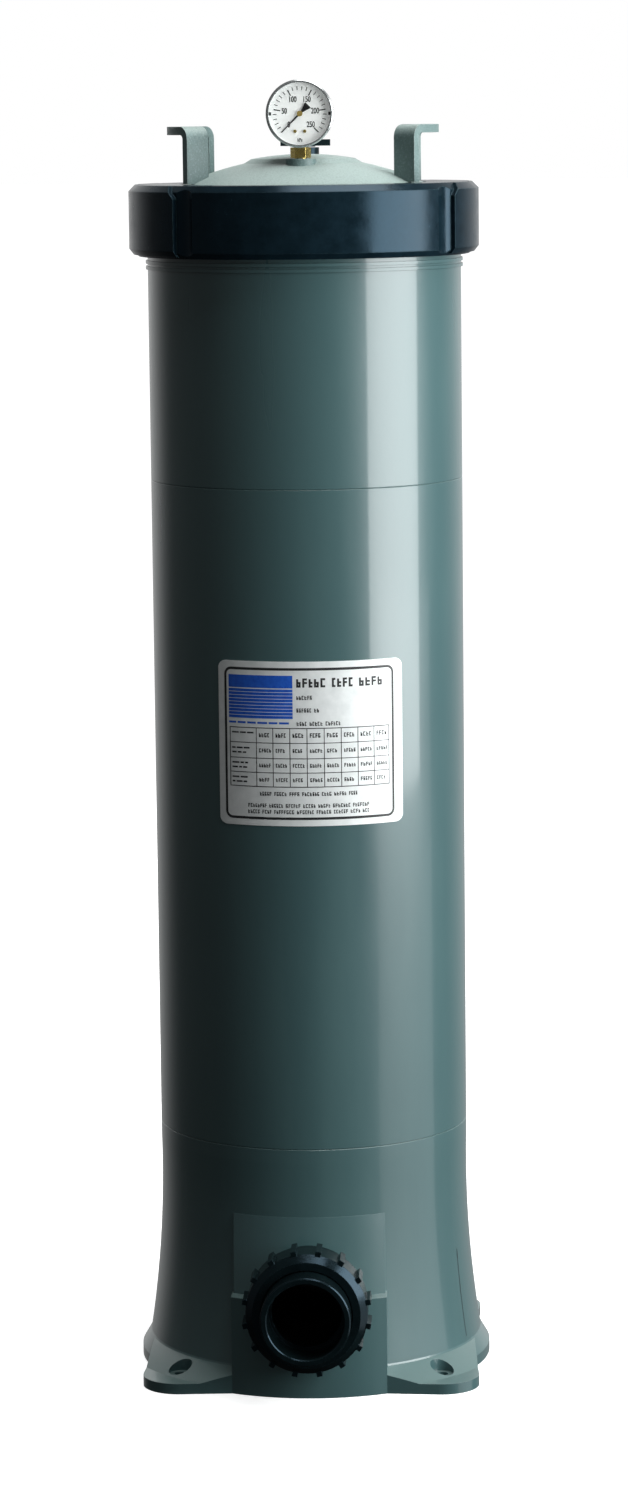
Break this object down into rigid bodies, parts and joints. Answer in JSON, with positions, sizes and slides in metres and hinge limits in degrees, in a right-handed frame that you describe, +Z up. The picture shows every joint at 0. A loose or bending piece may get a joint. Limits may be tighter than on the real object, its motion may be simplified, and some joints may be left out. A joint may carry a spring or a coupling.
{
  "type": "cartridge filter housing",
  "caption": "Upright pool filter housing: a plastic tank with a screw-down lid, grab handles, pressure gauge, air bleed, pipe unions and a lift-out pleated cartridge.",
  "frame": {"origin": "centre of the base underside, on the tank's axis", "axes": "+Z up along the tank; the inlet union faces -Y, the outlet union +Y"},
  "size_m": [0.286, 0.4, 1.0365],
  "materials": {
    "tank_plastic": "gloss, dark grey",
    "lid_plastic": "fine grained, mid grey",
    "black_plastic": "satin black",
    "pvc_grey": "plain grey pipe plastic",
    "seal_rubber": "smooth",
    "label_foil": "satin printed foil",
    "gauge_steel": "thin drawn case",
    "bezel_chrome": "polished",
    "gauge_glass": "clear",
    "dial_white": "white with black print",
    "needle_black": "matt black",
    "brass": "machined",
    "pleat_fabric": "pleated spun polyester",
    "cap_plastic": "moulded end caps",
    "core_plastic": "moulded support tube"
  },
  "bodies": {
    "housing": {"base_moulding": "tank_plastic", "tank_tube": "tank_plastic", "tank_neck": "tank_plastic", "lid_seal": "seal_rubber", "data_label": "label_foil", "outlet_riser": "pvc_grey", "inlet_adaptor": "black_plastic", "inlet_seal": "seal_rubber", "inlet_tailpiece": "black_plastic", "outlet_adaptor": "black_plastic", "outlet_seal": "seal_rubber", "outlet_tailpiece": "black_plastic"},
    "inlet_union_nut": {"inlet_nut": "black_plastic"},
    "outlet_union_nut": {"outlet_nut": "black_plastic"},
    "cartridge": {"cartridge_lower_cap": "cap_plastic", "cartridge_upper_cap": "cap_plastic", "cartridge_core": "core_plastic", "cartridge_pleats": "pleat_fabric", "cartridge_bands": "core_plastic", "cartridge_gasket": "seal_rubber"},
    "lid": {"lid": "lid_plastic", "gauge_case": "gauge_steel", "gauge_bezel": "bezel_chrome", "gauge_lens": "gauge_glass", "gauge_dial": "dial_white", "dial_screws": "brass", "gauge_movement": "brass", "bourdon_tube": "brass", "gauge_stem": "brass", "bleed_body": "black_plastic"},
    "lock_ring": {"lock_ring": "black_plastic"},
    "bleed_knob": {"bleed_knob": "black_plastic"},
    "gauge_needle": {"gauge_needle": "needle_black"}
  },
  "joints": [
    {"name": "cartridge_lift", "type": "slide", "parent": "housing", "child": "cartridge", "axis": [0, 0, 1], "range_m": [0, 0.75]},
    {"name": "lid_lift", "type": "slide", "parent": "cartridge", "child": "lid", "axis": [0, 0, 1], "range_m": [0, 0.3]},
    {"name": "ring_turn", "type": "hinge", "parent": "lid", "child": "lock_ring", "pos_m": [0, 0, 0.93], "axis": [0, 0, 1], "range_deg": [0, 720]},
    {"name": "bleed_turn", "type": "hinge", "parent": "lid", "child": "bleed_knob", "pos_m": [0, 0.044, 0.987], "axis": [0, 0, 1], "range_deg": [0, 720]},
    {"name": "needle_sweep", "type": "hinge", "parent": "lid", "child": "gauge_needle", "pos_m": [0, -0.054, 1.01], "axis": [0, 1, 0], "range_deg": [0, 270]},
    {"name": "inlet_nut_turn", "type": "hinge", "parent": "housing", "child": "inlet_union_nut", "pos_m": [0, -0.165, 0.077], "axis": [0, -1, 0], "continuous": true},
    {"name": "outlet_nut_turn", "type": "hinge", "parent": "housing", "child": "outlet_union_nut", "pos_m": [0, 0.165, 0.077], "axis": [0, 1, 0], "continuous": true}
  ]
}
